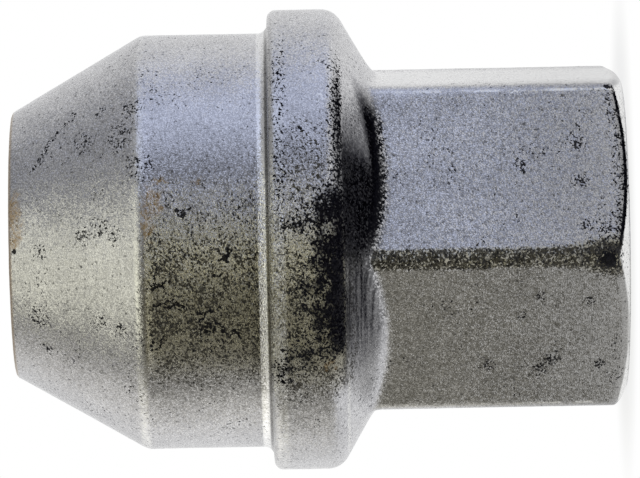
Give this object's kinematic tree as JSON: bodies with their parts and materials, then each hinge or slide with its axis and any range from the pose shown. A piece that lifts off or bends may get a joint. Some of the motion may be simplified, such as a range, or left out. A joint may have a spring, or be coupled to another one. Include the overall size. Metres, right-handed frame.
{
  "type": "lug nut",
  "caption": "One-piece flanged wheel lug nut with a 21 mm hex, a round shank and a 60 degree conical seat, tapped right through for an M14 x 1.5 wheel stud, in dull grey coated steel.",
  "frame": {"origin": "middle of the flat hex end, on the stud's axis", "axes": "+Z along the stud's axis, from the hex end to the cone's tip; two corners of the hex on the Y axis and two flats facing +X and -X"},
  "size_m": [0.03, 0.03, 0.0397],
  "materials": {
    "grey_coated_steel": "dull, finely granular grey coating, with dark specks, light scuffs and a little rust"
  },
  "bodies": {
    "root": {"lug_nut": "grey_coated_steel"}
  },
  "joints": []
}
